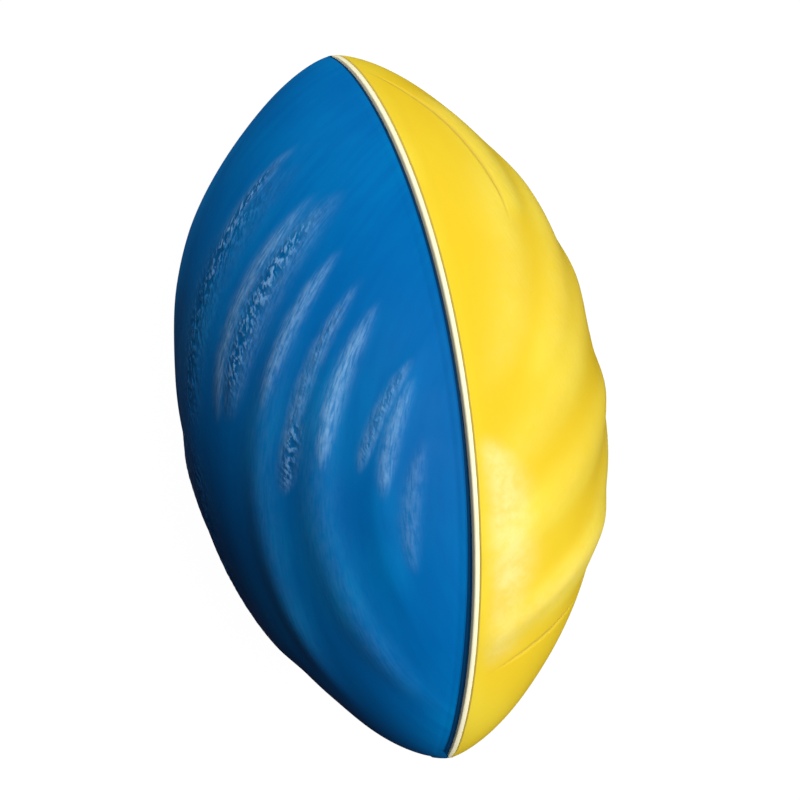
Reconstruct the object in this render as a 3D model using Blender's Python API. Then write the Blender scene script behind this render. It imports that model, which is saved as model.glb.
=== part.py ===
"""Football-shaped soft training bumper: a blue and a yellow fluted half, bonded on a cream web.

Metres, +Z up. The origin is the middle of the ball and +Y runs along its long axis to one tip.
The seam lies in the YZ plane, with the blue half on -X and the yellow half on +X. Both halves
come from one mould: the yellow half is the blue one after half a turn about Z.
"""

import math

import bmesh
import bpy
from mathutils import Vector

# Overall form
HALF_LENGTH = 0.1200  # middle to tip
HALF_WIDTH = 0.0717  # middle to the mean surface at the widest place
PROFILE_POWER = 0.686  # 0.5 would be an ellipsoid, and a larger power draws the tips out

# Flutes: shallow ridges that cross each half at a slant
FLUTE_DEPTH = 0.0030  # valley to crest
FLUTE_PITCH = 0.0236  # valley to valley, measured round the ball
FLUTE_SLOPE = 0.47  # how far a valley moves round the ball for each metre along it
FLUTE_OFFSET = 0.0270  # from the half's centre line round to a valley, at Y = 0
SEAM_FADE = 0.010  # distance from the seam over which the flutes run out
TIP_FADE = 0.30  # share of the half length over which they run out at a tip

# Build-up
WEB_THICKNESS = 0.0018  # the cream web in the seam plane
WEB_PROUD = 0.0002  # how far the web's rim stands past the mean surface
SKIN_WALL = 0.0032  # mean thickness of the skin at the widest place
TIP_WALL = 0.0075  # length of solid skin at a tip
LIP_WIDTH = 0.0020  # the skin's edge rolls over within this distance of the seam
LIP_DROP = 0.0012  # how far it falls there
LIP_SHARE = 0.35  # most of a row, from its middle to the seam, that the lip may take up
GAP = 0.0003  # clearance between neighbouring pieces
TIP_GAP = 0.0008  # the same at a core's tips, where the surfaces run at a slant
CUTTER_EXTRA = 0.0020  # how far a cutter runs past the face that it opens

# Mesh density
SKIN_ACROSS = 48
SKIN_ALONG = 30
LIP_COLUMNS = 2
CORE_ACROSS = 20
CORE_ALONG = 20
WEB_STEPS = 40  # outline steps from tip to tip
MERGE = 0.00001
SMOOTH_BELOW = math.radians(40.0)

# Colour and roughness of each material
BLUE = (0.010, 0.130, 0.440), 0.42
YELLOW = (0.900, 0.680, 0.040), 0.42
CREAM = (0.920, 0.880, 0.650), 0.60
FOAM = (0.850, 0.790, 0.560), 0.85

RIGHT_ANGLE = 0.5 * math.pi
SEAT = 0.5 * WEB_THICKNESS + GAP  # where each half's flat side lies, out from the seam plane
SQUASH = 1.0 - SEAT / HALF_WIDTH  # keeps the ball as wide across the seam as along it


def profile_radius(y, half_length, half_width):
    """Radius of the turned form at distance y from its middle."""
    u = min(abs(y) / half_length, 1.0)
    return half_width * (1.0 - u * u) ** PROFILE_POWER


def smooth_step(x):
    """0 up to x = 0, 1 from x = 1, and an even S between."""
    x = min(max(x, 0.0), 1.0)
    return x * x * (3.0 - 2.0 * x)


def flute_height(y, turn, radius):
    """Height of the flutes over the mean surface, at the angle turn from the centre line."""
    phase = (radius * turn - FLUTE_SLOPE * y - FLUTE_OFFSET) / FLUTE_PITCH
    wave = -0.5 * FLUTE_DEPTH * math.cos(2.0 * math.pi * phase)
    to_seam = radius * (RIGHT_ANGLE - abs(turn))
    to_tip = 1.0 - abs(y) / HALF_LENGTH
    return wave * smooth_step(to_seam / SEAM_FADE) * smooth_step(to_tip / TIP_FADE)


def plain_point(across, y, half_length, half_width):
    """Angle from the centre line and radius, for across from -1 to 1, on a plain half."""
    return across * RIGHT_ANGLE, profile_radius(y, half_length, half_width)


def skin_point(across, y, half_length, half_width):
    """The same on the fluted skin, whose last columns on each side follow the rolled lip."""
    radius = profile_radius(y, half_length, half_width)
    lip = min(LIP_WIDTH, LIP_SHARE * RIGHT_ANGLE * radius)
    lip_angle = lip / radius if radius > MERGE else 0.0
    body = 1.0 - 2.0 * LIP_COLUMNS / SKIN_ACROSS
    if abs(across) <= body:
        turn = across / body * (RIGHT_ANGLE - lip_angle)
        return turn, radius + flute_height(y, turn, radius)
    roll = (abs(across) - body) / (1.0 - body) * RIGHT_ANGLE
    turn = RIGHT_ANGLE - lip_angle * (1.0 - math.sin(roll))
    drop = LIP_DROP * lip / LIP_WIDTH * (1.0 - math.cos(roll))
    return math.copysign(turn, across), radius + flute_height(y, turn, radius) - drop


def half_mesh(name, point, columns, rows, half_length, half_width, extra=0.0):
    """A closed half of the ball on -X, with its flat side on the seat, or extra past it.

    A grid is wrapped over the half from seam to seam and from tip to tip. Its end rows shrink
    to the tips, and the rim that is left, all in one plane, is closed with a flat face.
    """
    sheet = bmesh.new()
    bmesh.ops.create_grid(sheet, x_segments=columns, y_segments=rows, size=1.0)
    for vertex in sheet.verts:
        y = half_length * math.sin(vertex.co.y * RIGHT_ANGLE)
        turn, radius = point(vertex.co.x, y, half_length, half_width)
        out = SEAT + SQUASH * radius * math.cos(turn)
        vertex.co = Vector((-out, y, radius * math.sin(turn)))
    bmesh.ops.remove_doubles(sheet, verts=sheet.verts, dist=MERGE)
    rim = [edge for edge in sheet.edges if edge.is_boundary]
    flat_side = bmesh.ops.contextual_create(sheet, geom=rim)["faces"]
    bmesh.ops.recalc_face_normals(sheet, faces=sheet.faces)
    if extra:
        grown = bmesh.ops.extrude_face_region(sheet, geom=flat_side)["geom"]
        moved = [item for item in grown if isinstance(item, bmesh.types.BMVert)]
        bmesh.ops.translate(sheet, verts=moved, vec=(extra, 0.0, 0.0))
        bmesh.ops.delete(sheet, geom=flat_side, context="FACES_ONLY")
    mesh = bpy.data.meshes.new(name)
    sheet.to_mesh(mesh)
    sheet.free()
    mesh.shade_smooth()
    mesh.set_sharp_from_angle(angle=SMOOTH_BELOW)
    return mesh


def make_material(name, look):
    colour, roughness = look
    material = bpy.data.materials.new(name)
    material.use_nodes = True
    shader = material.node_tree.nodes["Principled BSDF"]
    shader.inputs["Base Color"].default_value = (*colour, 1.0)
    shader.inputs["Roughness"].default_value = roughness
    shader.inputs["Metallic"].default_value = 0.0
    return material


def add_object(name, data, collection, parent=None):
    body = bpy.data.objects.new(name, data)
    collection.objects.link(body)
    body.parent = parent
    return body


def make_skin(name, look, parts, cutters, half):
    """A fluted skin, hollowed by a cutter that is the core's form plus its clearance."""
    mesh = half_mesh(name, skin_point, SKIN_ACROSS, SKIN_ALONG, HALF_LENGTH, HALF_WIDTH)
    mesh.materials.append(make_material(name, look))
    skin = add_object(name, mesh, parts, half)
    hollow = half_mesh(
        name + "_hollow",
        plain_point,
        CORE_ACROSS,
        CORE_ALONG,
        HALF_LENGTH - TIP_WALL,
        HALF_WIDTH - SKIN_WALL,
        extra=CUTTER_EXTRA,
    )
    cutter = add_object(name + "_hollow", hollow, cutters, half)
    cutter.hide_render = True
    cutter.display_type = "WIRE"
    cut = skin.modifiers.new("hollow", "BOOLEAN")
    cut.operation = "DIFFERENCE"
    cut.solver = "EXACT"
    cut.object = cutter
    return skin


def make_core(name, parts, half):
    """The foam that fills one skin."""
    mesh = half_mesh(
        name,
        plain_point,
        CORE_ACROSS,
        CORE_ALONG,
        HALF_LENGTH - TIP_WALL - TIP_GAP,
        HALF_WIDTH - SKIN_WALL - GAP,
    )
    mesh.materials.append(make_material(name, FOAM))
    return add_object(name, mesh, parts, half)


def make_web(name, parts):
    """The flat cream web: the ball's outline, extruded to the web's thickness."""
    outline = bpy.data.curves.new(name, "CURVE")
    outline.dimensions = "2D"
    outline.fill_mode = "BOTH"
    outline.extrude = 0.5 * WEB_THICKNESS
    spline = outline.splines.new("POLY")
    spline.points.add(2 * WEB_STEPS - 1)
    spline.use_cyclic_u = True
    for step, point in enumerate(spline.points):
        angle = math.pi * step / WEB_STEPS
        along = (HALF_LENGTH + WEB_PROUD) * math.cos(angle)
        half_width = math.copysign(HALF_WIDTH + WEB_PROUD, math.sin(angle))
        height = profile_radius(along, HALF_LENGTH + WEB_PROUD, half_width)
        point.co = (along, height, 0.0, 1.0)
    outline.materials.append(make_material(name, CREAM))
    web = add_object(name, outline, parts)
    web.rotation_euler = (RIGHT_ANGLE, 0.0, RIGHT_ANGLE)
    return web


def make_half(side, look, turned, parts, cutters):
    """One half: an empty in the middle of the ball that carries the skin and its core."""
    half = add_object(side + "_half", None, parts)
    half.rotation_euler = (0.0, 0.0, turned)
    make_skin(side + "_half_skin", look, parts, cutters, half)
    make_core(side + "_side_core", parts, half)


def new_collection(name):
    collection = bpy.data.collections.new(name)
    bpy.context.scene.collection.children.link(collection)
    return collection


def main():
    for old in list(bpy.data.objects):
        bpy.data.objects.remove(old, do_unlink=True)
    parts = new_collection("training_bumper")
    cutters = new_collection("cutters")
    make_half("blue", BLUE, 0.0, parts, cutters)
    make_half("yellow", YELLOW, math.pi, parts, cutters)
    make_web("seam_web", parts)


main()
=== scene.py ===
"""Looks of the soft training bumper: rippled, wrinkled skins, the cream seam, studio and camera.

Metres, in the part's own frame: +Y along the ball, the seam in the YZ plane, blue on -X, yellow
on +X. The main sizes come from the boxes of the CAD nodes, and the relief is in millimetres.

The skins are described on a plan of one half: "round" is the distance round the ball from the
half's centre line towards one seam, and "along" is the distance towards one tip. Both halves use
the blue half's plan, and the yellow half is then given half a turn about Z.
"""

import math
from collections import namedtuple

import bmesh
import bpy
import numpy as np
from mathutils import Matrix, Vector


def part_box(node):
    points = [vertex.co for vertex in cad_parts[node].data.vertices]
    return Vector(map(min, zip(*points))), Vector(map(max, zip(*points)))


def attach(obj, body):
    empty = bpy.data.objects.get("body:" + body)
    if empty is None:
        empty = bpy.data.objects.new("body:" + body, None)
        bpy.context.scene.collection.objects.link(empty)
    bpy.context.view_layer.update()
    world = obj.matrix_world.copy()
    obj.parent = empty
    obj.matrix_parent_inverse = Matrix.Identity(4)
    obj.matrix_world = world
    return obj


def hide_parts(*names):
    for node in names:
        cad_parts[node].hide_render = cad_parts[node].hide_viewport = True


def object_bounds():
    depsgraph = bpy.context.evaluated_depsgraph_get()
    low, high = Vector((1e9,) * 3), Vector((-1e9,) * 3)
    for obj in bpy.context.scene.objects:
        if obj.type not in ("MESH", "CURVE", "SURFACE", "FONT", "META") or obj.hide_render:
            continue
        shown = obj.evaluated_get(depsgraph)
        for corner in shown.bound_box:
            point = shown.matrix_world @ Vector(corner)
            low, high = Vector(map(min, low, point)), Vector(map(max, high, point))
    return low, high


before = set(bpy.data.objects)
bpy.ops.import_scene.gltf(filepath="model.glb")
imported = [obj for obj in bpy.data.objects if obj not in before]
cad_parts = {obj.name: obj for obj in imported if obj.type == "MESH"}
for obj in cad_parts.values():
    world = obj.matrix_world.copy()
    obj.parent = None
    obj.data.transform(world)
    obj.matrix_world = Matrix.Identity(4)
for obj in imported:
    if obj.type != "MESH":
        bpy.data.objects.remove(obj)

CAD_BOX = [list(corner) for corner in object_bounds()]
SKIN_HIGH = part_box("blue_half_skin")[1]
WEB_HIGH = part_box("seam_web")[1]
CORE_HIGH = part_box("blue_side_core")[1]

MM = 0.001
RIGHT_ANGLE = 0.5 * math.pi

# The mean form, as the CAD has it
PROFILE_POWER = 0.686
WEB_PROUD = 0.2 * MM
HALF_LENGTH = SKIN_HIGH[1]
HALF_WIDTH = WEB_HIGH[2] - WEB_PROUD
SEAT = -SKIN_HIGH[0]  # where a half's flat side lies, out from the seam plane

# The hollow that the core fills: the core's own form, with its clearances
CORE_TIP_GAP = 0.8 * MM
CORE_SIDE_GAP = 0.3 * MM
INNER_LENGTH = CORE_HIGH[1] + CORE_TIP_GAP
INNER_WIDTH = CORE_HIGH[2] + CORE_SIDE_GAP
SQUASH = 1.0 - SEAT / HALF_WIDTH  # it is this much narrower across the seam than along it

# The web: half its thickness, how far its rim rounds off, and how far below the rim's top the
# outline's last points on each flat side lie
WEB_HALF = WEB_HIGH[0]
WEB_ROUNDING = 0.6 * WEB_HALF
WEB_SIDE = 4.0 * MM
WEB_SIDE_SHARE = 0.8  # most of the radius that this may take up by the tips

# Edge of a skin at the seam: how far its wall stands from the seam plane, how much further it
# stands by the tip at -Y, the radius of the lip that rolls into the groove, and the depth of the
# crease behind the lip's bead
Lip = namedtuple("Lip", "groove gape reach crease")
BLUE_LIP = Lip(1.65 * MM, 0.75 * MM, 1.5 * MM, 0.20 * MM)
YELLOW_LIP = Lip(1.00 * MM, 0.0, 0.5 * MM, 0.0)
GAPE_RISE = 1.3  # the gape grows from the middle, and is whole at the half length over this
SLIM_RADIUS = 4.0 * BLUE_LIP.reach  # where the ball is slimmer than this, the lip shrinks with it
CREASE_AT = 6.2 * MM
CREASE_WIDTH = 1.1 * MM
GROOVE_DEPTH = 1.9 * MM

# Ripples of a skin, in millimetres on the plan. A crest runs through (round, along), for reach
# each way along the ball, with a slope and a bend. Its section is a bell of this width and
# height. A groove's height is negative, and a height of 0 only paints light or shade on the surface
# or wrinkles it. The eighth value, painted light, is how pale the painted highlight along the crest
# is, or, where it is negative, how dark the painted shade in a groove is. Wrinkled is how much fine
# wrinkling it carries.
Ripple = namedtuple("Ripple", "round along reach slope bend width height rubbed wrinkled")
BLUE_RIPPLES = (
    Ripple(23.5, 60.0, 25.0, 0.45, 0.0060, 3.2, 0.3, 1.00, 1.0),
    Ripple(13.0, 36.0, 44.0, 0.45, 0.0060, 8.0, 0.0, 0.30, 1.0),
    Ripple(42.0, 29.0, 36.0, 0.54, 0.0030, 5.6, 1.3, 1.00, 1.0),
    Ripple(34.5, 30.0, 36.0, 0.52, 0.0030, 3.6, 0.7, 0.90, 0.2),
    Ripple(31.5, -30.0, 76.0, 0.44, 0.0008, 6.5, 1.8, 0.08, 0.0),
    Ripple(55.5, 18.0, 26.0, 0.58, 0.0020, 2.5, 0.5, 0.95, 0.3),
    Ripple(59.0, -1.0, 34.0, 0.62, 0.0010, 2.3, 0.5, 1.00, 0.6),
    Ripple(48.5, -21.0, 13.0, 0.60, 0.0000, 3.0, 0.1, 0.80, 1.0),
    Ripple(46.5, -50.0, 66.0, 0.38, 0.0012, 6.5, 1.8, 0.08, 0.0),
    Ripple(70.5, -4.0, 28.0, 0.56, 0.0015, 2.7, 0.6, 0.90, 0.1),
    Ripple(75.0, -35.0, 52.0, 0.55, 0.0020, 5.5, 0.9, 0.00, 0.0),
    Ripple(82.0, -15.0, 18.0, 0.80, 0.0020, 1.9, 0.5, 1.00, 0.7),
    Ripple(83.5, -23.0, 20.0, 0.62, 0.0020, 2.2, 0.4, 0.75, 0.2),
    Ripple(79.5, -45.5, 22.0, 0.65, 0.0020, 2.4, 0.5, 0.35, 0.2),
    Ripple(3.0, 0.0, 95.0, 0.47, 0.0000, 7.0, 0.5, 0.05, 0.3),
)
YELLOW_RIPPLES = (
    Ripple(50.0, 78.0, 42.0, 0.85, 0.0000, 7.5, 2.1, 0.22, 0.1),
    Ripple(58.0, 36.0, 52.0, 0.95, 0.0000, 9.0, 2.0, 0.08, 0.1),
    Ripple(62.0, 0.0, 55.0, 0.85, 0.0000, 9.0, 1.6, 0.08, 0.1),
    Ripple(50.0, -36.0, 55.0, 0.75, 0.0000, 8.0, 1.8, 0.10, 0.1),
    Ripple(80.0, -30.0, 48.0, 0.55, 0.0000, 8.0, 0.8, 0.10, 0.1),
    Ripple(45.0, -74.0, 30.0, 0.60, 0.0000, 7.0, 1.4, 0.10, 0.2),
    Ripple(93.0, 42.0, 19.0, -0.85, 0.0000, 7.0, 0.0, 0.60, 0.1),
    Ripple(80.0, 61.0, 19.0, -0.85, 0.0000, 7.0, 0.0, 0.60, 0.1),
    Ripple(62.0, 82.0, 17.0, -0.85, 0.0000, 6.5, 0.0, 0.35, 0.1),
    # the next two are grooves with painted shade in them, set by their negative eighth value
    Ripple(33.0, 86.0, 13.0, 1.00, 0.0000, 0.8, -0.6, -0.90, 0.0),
    Ripple(48.0, -80.0, 34.0, 0.57, 0.0000, 0.9, -0.8, -0.95, 0.0),
    Ripple(6.0, 0.0, 95.0, 0.55, 0.0000, 8.0, 1.5, 0.10, 0.2),
)
# Swells: the soft form is a little full or flat in places, on one side of the centre line only
BLUE_SWELLS = (
    Ripple(-18.0, 82.0, 60.0, 0.10, 0.0000, 26.0, 1.2, 0.00, 0.0),
    Ripple(-22.0, -8.0, 80.0, 0.10, 0.0000, 24.0, -1.3, 0.00, 0.0),
    Ripple(-25.0, -99.0, 27.0, 0.10, 0.0000, 20.0, -2.2, 0.00, 0.0),
)
YELLOW_SWELLS = (
    Ripple(25.0, 20.0, 60.0, 0.10, 0.0000, 22.0, -0.8, 0.00, 0.0),
)
TAPER = 0.55  # how much narrower a ripple gets by its ends
SEAM_CLEAR = 9.0 * MM  # the ripples run out over this distance from the seam
TIP_CLEAR = 0.22  # share of the half length over which they run out at a tip
SINK = 1.1 * MM  # how far the surface between the ripples lies below the mean form

# Fine wrinkles: short creases that run slantwise across the ripples and waver in direction
WRINKLE_STEP = 1.1 * MM
WRINKLE_LENGTH = 2.8 * MM
WRINKLE_SLANT = math.radians(12.0)
WRINKLE_DEPTH = 0.15 * MM
WAVER_SIZE = 9.0 * MM
WAVER_SHARE = 0.9  # of a wrinkle's step
FOLD_SHARE = 0.75  # how much of the wrinkling is long folds, and how sharp they are
FOLD_SHARPNESS = 3.0
CELL_SHARE = 0.45  # how much of it is round cells
NOISE_GRID = 256  # random values each way before the noise repeats

# Mesh density
ROWS = 640
BODY_COLUMNS = 460
LIP_COLUMNS = 8
INNER_COLUMNS = 40
WEB_ROLL_STEPS = 9
MERGE = 0.001 * MM  # points closer than this are welded

# Looks of the skins: linear colours, the mean roughness, how far strokes break up the colour and
# the painted highlight streaks, and how dark the painted shade in the valleys gets. Deep is a darker
# tone of the skin and also the painted valley shade; pale is the painted highlight on the crests;
# edge is the painted shade in the seam groove, the fine wrinkles and the dark grooves.
SkinLook = namedtuple("SkinLook", "main deep bright pale edge roughness streaky valleys")
BLUE_LOOK = SkinLook(
    main=(0.000, 0.170, 0.470),
    deep=(0.000, 0.112, 0.375),
    bright=(0.000, 0.210, 0.500),
    # pale is a painted highlight; edge is painted shade in the seam groove, the wrinkles and the
    # grooves
    pale=(0.165, 0.375, 0.665),
    edge=(0.000, 0.030, 0.095),
    roughness=0.50,
    streaky=0.75,
    valleys=0.45,
)
YELLOW_LOOK = SkinLook(
    main=(0.850, 0.650, 0.038),
    deep=(0.815, 0.560, 0.020),
    bright=(0.880, 0.710, 0.060),
    # pale is a painted highlight; edge is painted shade in the seam groove, the wrinkles and the
    # grooves
    pale=(0.960, 0.860, 0.360),
    edge=(0.640, 0.470, 0.060),
    roughness=0.48,
    streaky=0.12,
    valleys=0.70,
)
MAIN_SHARE = 0.55  # how much of the main colour covers the clouds
FLOW_SHARE = 0.55  # how much of the deep colour the flow lines bring
STREAK_GAIN = 1.25
WRINKLE_SHADE_SHARE = 0.35  # how dark the painted shade in the fine wrinkles, between their ridges, is
SKIN_SPECULAR = 0.05
ROUGHNESS_DOWN = 0.05  # how far patches go below and above the mean roughness
ROUGHNESS_UP = 0.06

# Strokes in the colour, as a width and length in millimetres on the plan, and how they lean
FLOW_STROKE = (3.5, 22.0)
RAGGED_STROKE = (0.8, 6.0)
VEIN_STROKE = (1.1, 2.8)
CREST_SLANT = math.radians(27.0)

# Sizes of the skins' clouds, patches, wisps, grain and pores, and the depths of the fine relief
CLOUD_SIZE = 45.0 * MM
PATCH_SIZE = 12.0 * MM
WISP_SIZE = 4.0 * MM
GRAIN_SIZE = 0.9 * MM
PORE_SIZE = 1.8 * MM
GRAIN_DEPTH = 0.02 * MM
VEIN_DEPTH = 0.10 * MM

NOISE_LOW = 0.3  # a noise node seldom leaves this range
NOISE_HIGH = 0.7

# Foams: two colours in blotches, the size and depth of the cut cells, and the roughness, which
# varies in patches
Foam = namedtuple("Foam", "dark light blotch cell depth patch rough_low rough_high specular")
WEB_FOAM = Foam(
    dark=(0.960, 0.900, 0.560),
    light=(1.000, 0.960, 0.700),
    blotch=14.0 * MM,
    cell=0.7 * MM,
    depth=0.04 * MM,
    patch=3.0 * MM,
    rough_low=0.55,
    rough_high=0.70,
    specular=0.25,
)
CORE_FOAM = Foam(
    dark=(0.800, 0.720, 0.470),
    light=(0.900, 0.850, 0.640),
    blotch=20.0 * MM,
    cell=1.6 * MM,
    depth=0.4 * MM,
    patch=5.0 * MM,
    rough_low=0.80,
    rough_high=0.95,
    specular=0.15,
)
CELL_WALL_COLOUR = (0.560, 0.480, 0.280)  # the core foam's
CELL_WALL_SHARE = 0.6

# Camera: turned from straight above towards the blue side, tilted, and rolled about its own axis
SEAM_TURN = math.radians(20.45)
TILT = math.radians(-9.5)
ROLL = math.radians(9.52)
DISTANCE = 3.0
VIEW_WIDTH = 0.2660
AIM_RIGHT = 3.32 * MM
AIM_UP = 1.50 * MM
SENSOR = 36.0

# Softboxes: a direction in parts of the camera's back, up and right, a size in metres and a power
# in watts. One without shine leaves no highlight on the ball.
Softbox = namedtuple("Softbox", "name back up right size power shine")
SOFTBOXES = (
    Softbox("key_softbox", 0.90, 0.10, 0.28, 0.8, 11.6, True),
    Softbox("top_softbox", 0.12, 0.98, -0.20, 0.7, 9.5, False),
    Softbox("side_softbox", 0.45, -0.45, 0.90, 0.7, 7.9, False),
    Softbox("back_softbox", -1.00, 0.00, 0.00, 0.7, 6.0, False),
)
LAMP_DISTANCE = 1.2
FILL_COLOUR = (1.0, 0.78, 0.95, 1.0)  # the studio's faint overall light
FILL_STRENGTH = 0.05

# Backdrop
DOME_RADIUS = 7.0
DOME_SEGMENTS = 48
DOME_RINGS = 24
FLOOR_GAP = 0.5 * MM
BACKDROP_GREY = 0.05
BACKDROP_GLOW = 0.98


def smooth_step(x):
    x = np.clip(x, 0.0, 1.0)
    return x * x * (3.0 - 2.0 * x)


def mean_radius(y, half_length=HALF_LENGTH, half_width=HALF_WIDTH):
    u = np.minimum(np.abs(y) / half_length, 1.0)
    return half_width * (1.0 - u * u) ** PROFILE_POWER


def rows_along(half_length):
    """A column of y from tip to tip, closer together by the tips."""
    return half_length * np.sin(np.linspace(-1.0, 1.0, ROWS + 1)[:, None] * RIGHT_ANGLE)


def lattice_noise(u, v, seed):
    """Smooth noise from -1 to 1 with one random value for each whole number of u and v."""
    grid = np.random.default_rng(seed).uniform(-1.0, 1.0, (NOISE_GRID, NOISE_GRID))
    i = np.floor(u).astype(int)
    j = np.floor(v).astype(int)
    s = smooth_step(u - i)
    t = smooth_step(v - j)
    i_next = (i + 1) % NOISE_GRID
    j_next = (j + 1) % NOISE_GRID
    i = i % NOISE_GRID
    j = j % NOISE_GRID
    near = grid[i, j] * (1.0 - t) + grid[i, j_next] * t
    far = grid[i_next, j] * (1.0 - t) + grid[i_next, j_next] * t
    return near * (1.0 - s) + far * s


def ripple_bell(ripple, round_mm, along_mm):
    """1 on the crest of a ripple's middle, falling to 0 across it and towards its ends."""
    step = along_mm - ripple.along
    crest = ripple.round + ripple.slope * step + ripple.bend * step * step
    run = ripple.slope + 2.0 * ripple.bend * step
    across = (round_mm - crest) / np.sqrt(1.0 + run * run)
    share = np.minimum(np.abs(step) / ripple.reach, 1.0)
    width = ripple.width * (1.0 - TAPER * share * share)
    return np.exp(-((across / width) ** 2)) * smooth_step(2.0 * (1.0 - share))


def ripple_fields(ripples, swells, around, y):
    """Height, painted highlight, painted shade in grooves and wrinkling. The far side of a half
    repeats the near one's ripples.
    """
    height = np.zeros_like(around)
    rubbed = np.zeros_like(around)
    groove_shade = np.zeros_like(around)
    wrinkled = np.zeros_like(around)
    for ripple in ripples:
        for way in (1.0, -1.0):
            bell = ripple_bell(ripple, way * around / MM, way * y / MM)
            height += ripple.height * MM * bell
            rubbed = np.maximum(rubbed, ripple.rubbed * bell)
            groove_shade = np.maximum(groove_shade, -ripple.rubbed * bell)
            wrinkled = np.maximum(wrinkled, ripple.wrinkled * bell)
    for swell in swells:
        height += swell.height * MM * ripple_bell(swell, around / MM, y / MM)
    return height, rubbed, groove_shade, wrinkled


def wrinkle_field(around, y, seed):
    """Fine creases, from -1 to 1: the folds of a stretched noise, slowly wavering in direction."""
    waver = WAVER_SHARE * lattice_noise(around / WAVER_SIZE, y / WAVER_SIZE, seed)
    cross = around * math.cos(WRINKLE_SLANT) + y * math.sin(WRINKLE_SLANT)
    down = y * math.cos(WRINKLE_SLANT) - around * math.sin(WRINKLE_SLANT)
    fold = lattice_noise(cross / WRINKLE_STEP + waver, down / WRINKLE_LENGTH, seed + 1)
    cells = lattice_noise(around / WRINKLE_STEP, y / WRINKLE_STEP, seed + 2)
    folds = FOLD_SHARE * (1.0 - FOLD_SHARPNESS * np.abs(fold))
    return np.clip(folds + CELL_SHARE * cells, -1.0, 1.0)


def lip_edge(lip, radius, groove, small):
    """Distances from the seam plane and from the axis, down the lip, the wall and the floor."""
    roll = np.linspace(0.0, RIGHT_ANGLE, LIP_COLUMNS + 1)[None, 1:]
    wall = -groove * small
    lip_x = wall - lip.reach * small * (1.0 - np.sin(roll))
    lip_z = radius - lip.reach * small * (1.0 - np.cos(roll))
    floor_z = radius - GROOVE_DEPTH * small
    edge_x = np.concatenate([lip_x, wall, -SEAT + 0.0 * radius], axis=1)
    edge_z = np.concatenate([lip_z, floor_z, floor_z], axis=1)
    return edge_x, edge_z


def skin_sheet(lip, ripples, swells, seed):
    """Rows by columns of points on the outer surface, seam to seam, and their surface values.

    Past the body's columns come the lip's quarter round, the groove's wall and its floor.
    """
    y = rows_along(HALF_LENGTH)
    radius = mean_radius(y)
    small = np.minimum(1.0, radius / SLIM_RADIUS)
    groove = lip.groove + lip.gape * smooth_step(-GAPE_RISE * y / HALF_LENGTH)
    lip_angle = (groove + lip.reach) * small / np.maximum(radius, MERGE)
    body = np.linspace(-1.0, 1.0, BODY_COLUMNS + 1)[None, :]
    turn = body * (RIGHT_ANGLE - np.where(radius > MERGE, lip_angle, 0.0))
    around = radius * turn
    along = y + 0.0 * turn
    to_seam = radius * (RIGHT_ANGLE - np.abs(turn))
    height, rubbed, groove_shade, wrinkled = ripple_fields(ripples, swells, around, along)
    from_tip = smooth_step((1.0 - np.abs(y) / HALF_LENGTH) / TIP_CLEAR)
    clear = smooth_step(to_seam / SEAM_CLEAR) * from_tip
    folds = wrinkle_field(around, along, seed)
    height = clear * (height - SINK + WRINKLE_DEPTH * wrinkled * folds)
    behind_bead = (to_seam - CREASE_AT * small) / CREASE_WIDTH
    r = radius + height - lip.crease * small * np.exp(-(behind_bead**2))

    edge_x, edge_z = lip_edge(lip, radius, groove, small)
    edge_y = y + 0.0 * edge_x
    points = np.stack(
        [
            np.concatenate([edge_x[:, ::-1], -r * np.cos(turn), edge_x], axis=1),
            np.concatenate([edge_y, along, edge_y], axis=1),
            np.concatenate([-edge_z[:, ::-1], r * np.sin(turn), edge_z], axis=1),
        ],
        axis=-1,
    )
    fields = {
        "height": height / MM,
        "rubbed": rubbed * clear,
        "groove_shade": groove_shade,
        "wrinkled": wrinkled * clear,
        "folds": folds,
        "seam": to_seam / MM,
        "round": around / MM,
        "along": along / MM,
    }
    plain = 0.0 * edge_x
    values = {key: np.concatenate([plain, field, plain], axis=1) for key, field in fields.items()}
    return points, values


def inner_sheet():
    """The skin's inner face, seam to seam, in the opposite direction to the outer sheet."""
    y = rows_along(INNER_LENGTH)
    radius = mean_radius(y, INNER_LENGTH, INNER_WIDTH)
    turn = np.linspace(1.0, -1.0, INNER_COLUMNS + 1)[None, :] * RIGHT_ANGLE
    out = SEAT + SQUASH * radius * np.cos(turn)
    return np.stack([-out, y + 0.0 * turn, radius * np.sin(turn)], axis=-1)


def loop_faces(rows, columns):
    """Quads between neighbouring rows, each of which is a closed loop of columns."""
    i = np.arange(rows - 1)[:, None] * columns
    j = np.arange(columns)[None, :]
    k = (j + 1) % columns
    faces = np.stack([i + j, i + k, i + columns + k, i + columns + j], axis=-1)
    return faces.reshape(-1, 4).tolist()


def add_object(name, data):
    made = bpy.data.objects.new(name, data)
    bpy.context.scene.collection.objects.link(made)
    return made


def ring_object(name, ring, values=None):
    """A closed object from rows of looped points, whose end rows are welded to points or edges."""
    rows, columns = ring.shape[:2]
    mesh = bpy.data.meshes.new(name)
    mesh.from_pydata(ring.reshape(-1, 3).tolist(), [], loop_faces(rows, columns))
    for key, field in (values or {}).items():
        attribute = mesh.attributes.new(key, "FLOAT", "POINT")
        attribute.data.foreach_set("value", field.ravel())
    sheet = bmesh.new()
    sheet.from_mesh(mesh)
    bmesh.ops.remove_doubles(sheet, verts=sheet.verts, dist=MERGE)
    bmesh.ops.holes_fill(sheet, edges=[edge for edge in sheet.edges if edge.is_boundary])
    bmesh.ops.recalc_face_normals(sheet, faces=sheet.faces)
    if sheet.calc_volume(signed=True) < 0.0:  # a thin shell can come out inside out
        bmesh.ops.reverse_faces(sheet, faces=sheet.faces)
    sheet.to_mesh(mesh)
    sheet.free()
    mesh.shade_smooth()
    return add_object(name, mesh)


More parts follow.
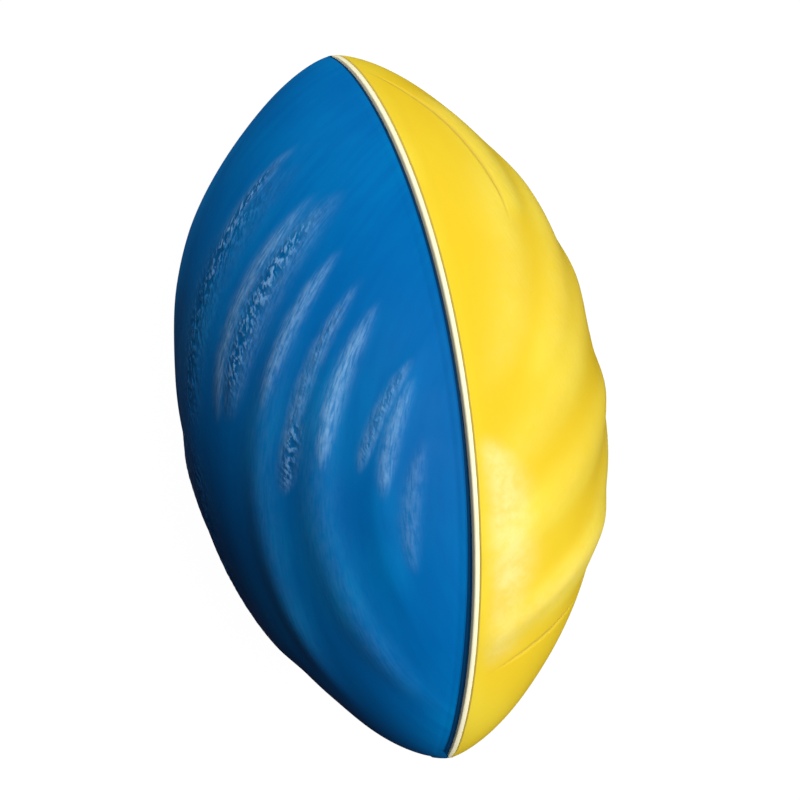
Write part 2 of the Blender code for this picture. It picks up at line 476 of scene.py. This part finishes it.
def make_skin(side, lip, ripples, swells, look, seed, turned=False):
    """One half's skin: the outer and inner sheets, looped together row by row."""
    name = side + "_skin"
    outer, values = skin_sheet(lip, ripples, swells, seed)
    inner = inner_sheet()
    ring = np.concatenate([outer, inner], axis=1)
    if turned:
        ring = ring * np.array([-1.0, -1.0, 1.0])
    blank = np.zeros(inner.shape[:2])
    values = {key: np.concatenate([field, blank], axis=1) for key, field in values.items()}
    skin = ring_object(name, ring, values)
    skin.data.materials.append(skin_material(name, look))
    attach(skin, "root")
    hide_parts(side + "_half_skin")


def make_web(name):
    """The cream web: two flat sides and a rounded rim that stands in the groove."""
    y = rows_along(HALF_LENGTH)
    radius = mean_radius(y)
    roll = np.linspace(0.0, math.pi, WEB_ROLL_STEPS)
    x = np.concatenate([[-WEB_HALF], -WEB_HALF * np.cos(roll), [WEB_HALF]])[None, :]
    rounding = WEB_ROUNDING * (1.0 - np.sin(roll))
    drop = np.concatenate([[WEB_SIDE], rounding, [WEB_SIDE]])[None, :]
    rim = radius - np.minimum(drop, WEB_SIDE_SHARE * radius)
    ring_x = np.concatenate([x, x[:, ::-1]], axis=1) + 0.0 * radius
    ring_z = np.concatenate([rim, -rim[:, ::-1]], axis=1)
    web = ring_object(name, np.stack([ring_x, y + 0.0 * ring_x, ring_z], axis=-1))
    web.data.materials.append(foam_material(name, WEB_FOAM))
    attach(web, "root")
    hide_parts("seam_web")


class Shader:
    """A node material under construction, with a short call for each kind of node it needs."""

    def __init__(self, name):
        self.material = bpy.data.materials.new(name)
        self.material.use_nodes = True
        self.tree = self.material.node_tree
        self.surface = self.tree.nodes["Principled BSDF"]

    def node(self, kind, settings=None, **inputs):
        made = self.tree.nodes.new(kind)
        for key, value in (settings or {}).items():
            setattr(made, key, value)
        for key, value in inputs.items():
            self.feed(made.inputs[key.replace("_", " ")], value)
        return made

    def feed(self, socket, value):
        if isinstance(value, bpy.types.NodeSocket):
            self.tree.links.new(value, socket)
        else:
            socket.default_value = value

    def finish(self, **inputs):
        """Feed these inputs of the surface, and give the finished material."""
        for key, value in inputs.items():
            self.feed(self.surface.inputs[key.replace("_", " ")], value)
        return self.material

    def value(self, name):
        return self.node("ShaderNodeAttribute", {"attribute_name": name}).outputs["Fac"]

    def place(self):
        return self.node("ShaderNodeTexCoord").outputs["Object"]

    def strokes(self, stroke, slant, detail=2.0):
        """Noise from 0 to 1 in strokes on the plan, which lean towards the seam by slant."""
        width, length = stroke
        plan = self.node("ShaderNodeCombineXYZ", X=self.value("round"), Y=self.value("along"))
        turned = self.node(
            "ShaderNodeMapping",
            {"vector_type": "TEXTURE"},
            Vector=plan.outputs["Vector"],
            Rotation=(0.0, 0.0, -slant),
            Scale=(width, length, 1.0),
        ).outputs["Vector"]
        made = self.node("ShaderNodeTexNoise", Vector=turned, Scale=1.0, Detail=detail)
        return made.outputs["Fac"]

    def noise(self, size, detail=3.0, roughness=0.5):
        """Noise from 0 to 1 whose features are about this size in metres."""
        made = self.node("ShaderNodeTexNoise", Vector=self.place(), Scale=1.0 / size, Detail=detail)
        made.inputs["Roughness"].default_value = roughness
        return made.outputs["Fac"]

    def cells(self, size):
        """Distance from the walls of random cells of about this size in metres."""
        kind = {"feature": "DISTANCE_TO_EDGE"}
        made = self.node("ShaderNodeTexVoronoi", kind, Vector=self.place(), Scale=1.0 / size)
        return made.outputs["Distance"]

    def spread(self, value, low, high, to_low=0.0, to_high=1.0):
        """The value's range low to high, moved to to_low to to_high, with smooth ends."""
        made = self.node("ShaderNodeMapRange", {"interpolation_type": "SMOOTHSTEP"}, Value=value)
        limits = {"From Min": low, "From Max": high, "To Min": to_low, "To Max": to_high}
        for key, number in limits.items():
            made.inputs[key].default_value = number
        return made.outputs["Result"]

    def patchy(self, size, low, high):
        """A value that wanders between low and high in patches of about this size."""
        return self.spread(self.noise(size), NOISE_LOW, NOISE_HIGH, low, high)

    def math(self, operation, first, second):
        made = self.node("ShaderNodeMath", {"operation": operation})
        self.feed(made.inputs[0], first)
        self.feed(made.inputs[1], second)
        return made.outputs["Value"]

    def mix(self, share, first, second):
        made = self.node("ShaderNodeMix", {"data_type": "RGBA"})
        self.feed(made.inputs["Factor"], share)
        for key, colour in (("A", first), ("B", second)):
            socket = [item for item in made.inputs if item.name == key and item.type == "RGBA"][0]
            is_link = isinstance(colour, bpy.types.NodeSocket)
            self.feed(socket, colour if is_link else (*colour, 1.0))
        return [item for item in made.outputs if item.type == "RGBA"][0]

    def bump(self, height, depth, under=None):
        made = self.node("ShaderNodeBump", Height=height, Strength=1.0, Distance=depth)
        if under is not None:
            self.feed(made.inputs["Normal"], under)
        return made.outputs["Normal"]


def colour_with_valley_shade(shader, look):
    """Clouds, flow lines along the ripples, and painted shade in the valleys between them."""
    clouds = shader.spread(shader.noise(CLOUD_SIZE, detail=2.0), low=0.35, high=0.65)
    colour = shader.mix(clouds, look.deep, look.bright)
    colour = shader.mix(MAIN_SHARE, colour, look.main)
    flow = shader.strokes(FLOW_STROKE, CREST_SLANT, detail=3.0)
    flow = shader.spread(flow, low=0.35, high=0.70, to_high=FLOW_SHARE * look.streaky)
    colour = shader.mix(flow, colour, look.deep)
    # painted shade: the deep colour laid into the low parts between the ripples
    valley_shade = shader.spread(shader.value("height"), low=0.2, high=-1.2, to_high=look.valleys)
    return shader.mix(valley_shade, colour, look.deep)


def wrinkle_veins(shader):
    """1 along the ridges between the fine wrinkles, and 0 in the wrinkles."""
    veins = shader.spread(shader.strokes(VEIN_STROKE, -WRINKLE_SLANT), low=0.42, high=0.56)
    ridges = shader.spread(shader.value("folds"), low=-0.75, high=0.10)
    return shader.math("MULTIPLY", veins, ridges)


def painted_highlight_streaks(shader, look, veins):
    """How strong the painted highlight streaks on the crests are, broken up by wrinkles, ragged
    strokes and wisps.
    """
    wrinkled = shader.value("wrinkled")
    smooth = shader.math("SUBTRACT", 1.0, wrinkled)
    streak = shader.math("MAXIMUM", shader.math("MULTIPLY", veins, wrinkled), smooth)
    ragged = shader.strokes(RAGGED_STROKE, CREST_SLANT, detail=3.0)
    ragged = shader.spread(ragged, low=0.32, high=0.62, to_low=1.0 - look.streaky)
    wisps = shader.spread(shader.noise(WISP_SIZE, roughness=0.6), low=0.30, high=0.62, to_low=0.60)
    for share in (ragged, wisps, shader.value("rubbed"), STREAK_GAIN):
        streak = shader.math("MULTIPLY", streak, share)
    return streak


def skin_material(name, look):
    """Satin moulded skin: cloudy colour, painted highlights on the crests, painted shade in the
    wrinkles, the grooves, the valleys and at the seam, fine grain.
    """
    shader = Shader(name)
    wrinkled = shader.value("wrinkled")
    veins = wrinkle_veins(shader)
    # painted highlight streaks along the crests, laid in the pale colour
    streaks = painted_highlight_streaks(shader, look, veins)
    colour = shader.mix(streaks, colour_with_valley_shade(shader, look), look.pale)
    # painted shade in the fine wrinkles, between their ridges
    between = shader.math("SUBTRACT", 1.0, veins)
    wrinkle_shade = shader.math("MULTIPLY", shader.math("MULTIPLY", between, wrinkled), WRINKLE_SHADE_SHARE)
    # painted shade: the edge colour over the lip, wall and floor of the seam groove
    seam_groove_shade = shader.spread(shader.value("seam"), low=1.6, high=0.2)
    # the wrinkle shade, the painted shade in the dark grooves and the seam shade all take the edge
    # colour
    for share in (wrinkle_shade, shader.value("groove_shade"), seam_groove_shade):
        colour = shader.mix(share, colour, look.edge)
    grain = shader.bump(shader.noise(GRAIN_SIZE, roughness=0.6), GRAIN_DEPTH)
    pores = shader.bump(shader.cells(PORE_SIZE), GRAIN_DEPTH, grain)
    creases = shader.bump(shader.math("MULTIPLY", veins, wrinkled), VEIN_DEPTH, pores)
    smoothest = look.roughness - ROUGHNESS_DOWN
    roughness = shader.patchy(PATCH_SIZE, smoothest, look.roughness + ROUGHNESS_UP)
    return shader.finish(
        Base_Color=colour,
        Roughness=roughness,
        Normal=creases,
        Specular_IOR_Level=SKIN_SPECULAR,
    )


def foam_material(name, foam, cell_walls=False):
    """Blotchy foam with cut cells, whose walls may show darker."""
    shader = Shader(name)
    colour = shader.mix(shader.noise(foam.blotch), foam.dark, foam.light)
    cells = shader.cells(foam.cell)
    if cell_walls:
        walls = shader.spread(cells, low=0.12, high=0.0, to_high=CELL_WALL_SHARE)
        colour = shader.mix(walls, colour, CELL_WALL_COLOUR)
    return shader.finish(
        Base_Color=colour,
        Roughness=shader.patchy(foam.patch, foam.rough_low, foam.rough_high),
        Normal=shader.bump(cells, foam.depth),
        Specular_IOR_Level=foam.specular,
    )


def dress_cores(material):
    for name in ("blue_side_core", "yellow_side_core"):
        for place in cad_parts[name].material_slots:
            place.material = material


def backdrop_material():
    """White that shows plain and evenly bright behind the ball."""
    return Shader("studio_white").finish(
        Base_Color=(BACKDROP_GREY, BACKDROP_GREY, BACKDROP_GREY, 1.0),
        Roughness=0.9,
        Specular_IOR_Level=0.0,
        Emission_Color=(1.0, 1.0, 1.0, 1.0),
        Emission_Strength=BACKDROP_GLOW,
    )


def make_stage():
    """A plain white floor under the ball and a white dome round it. Neither lights the ball."""
    white = backdrop_material()
    floor_z = CAD_BOX[0][2] - FLOOR_GAP
    bpy.ops.mesh.primitive_plane_add(size=2.0 * DOME_RADIUS, location=(0.0, 0.0, floor_z))
    floor = bpy.context.object
    floor.name = "studio_floor"
    bpy.ops.mesh.primitive_uv_sphere_add(
        segments=DOME_SEGMENTS, ring_count=DOME_RINGS, radius=DOME_RADIUS
    )
    dome = bpy.context.object
    dome.name = "studio_dome"
    for stage in (floor, dome):
        stage.data.materials.append(white)
        stage.visible_diffuse = False
        stage.visible_glossy = False
        stage.visible_shadow = False


def view_axes():
    """Right, up and back of the camera."""
    right = Vector((math.cos(SEAM_TURN), 0.0, math.sin(SEAM_TURN)))
    near = Vector((-math.sin(SEAM_TURN), 0.0, math.cos(SEAM_TURN)))
    along = Vector((0.0, 1.0, 0.0))
    up = math.cos(TILT) * along - math.sin(TILT) * near
    back = math.sin(TILT) * along + math.cos(TILT) * near
    rolled_right = math.cos(ROLL) * right - math.sin(ROLL) * up
    rolled_up = math.sin(ROLL) * right + math.cos(ROLL) * up
    return rolled_right, rolled_up, back


def make_camera():
    right, up, back = view_axes()
    data = bpy.data.cameras.new("camera")
    data.sensor_width = SENSOR
    data.lens = SENSOR * DISTANCE / VIEW_WIDTH
    camera = add_object("camera", data)
    place = back * DISTANCE + right * AIM_RIGHT + up * AIM_UP
    turn = Matrix((right, up, back)).transposed()
    camera.matrix_world = Matrix.Translation(place) @ turn.to_4x4()
    bpy.context.scene.camera = camera


def make_softbox(box):
    """A square lamp that faces the ball."""
    right, up, back = view_axes()
    data = bpy.data.lights.new(box.name, "AREA")
    data.shape = "SQUARE"
    data.size = box.size
    data.energy = box.power
    lamp = add_object(box.name, data)
    lamp.visible_glossy = box.shine
    away = (box.back * back + box.up * up + box.right * right).normalized()
    lamp.location = LAMP_DISTANCE * away
    lamp.rotation_mode = "QUATERNION"
    lamp.rotation_quaternion = away.to_track_quat("Z", "Y")


def make_light():
    scene = bpy.context.scene
    scene.view_settings.view_transform = "Standard"
    scene.world = bpy.data.worlds.new("studio")
    scene.world.use_nodes = True
    background = scene.world.node_tree.nodes["Background"]
    background.inputs["Color"].default_value = FILL_COLOUR
    background.inputs["Strength"].default_value = FILL_STRENGTH
    for box in SOFTBOXES:
        make_softbox(box)


def main():
    make_skin("blue", BLUE_LIP, BLUE_RIPPLES, BLUE_SWELLS, BLUE_LOOK, seed=3)
    make_skin(
        "yellow", YELLOW_LIP, YELLOW_RIPPLES, YELLOW_SWELLS, YELLOW_LOOK, seed=11, turned=True
    )
    make_web("cream_web")
    dress_cores(foam_material("core_foam", CORE_FOAM, cell_walls=True))
    make_stage()
    make_light()
    make_camera()


main()
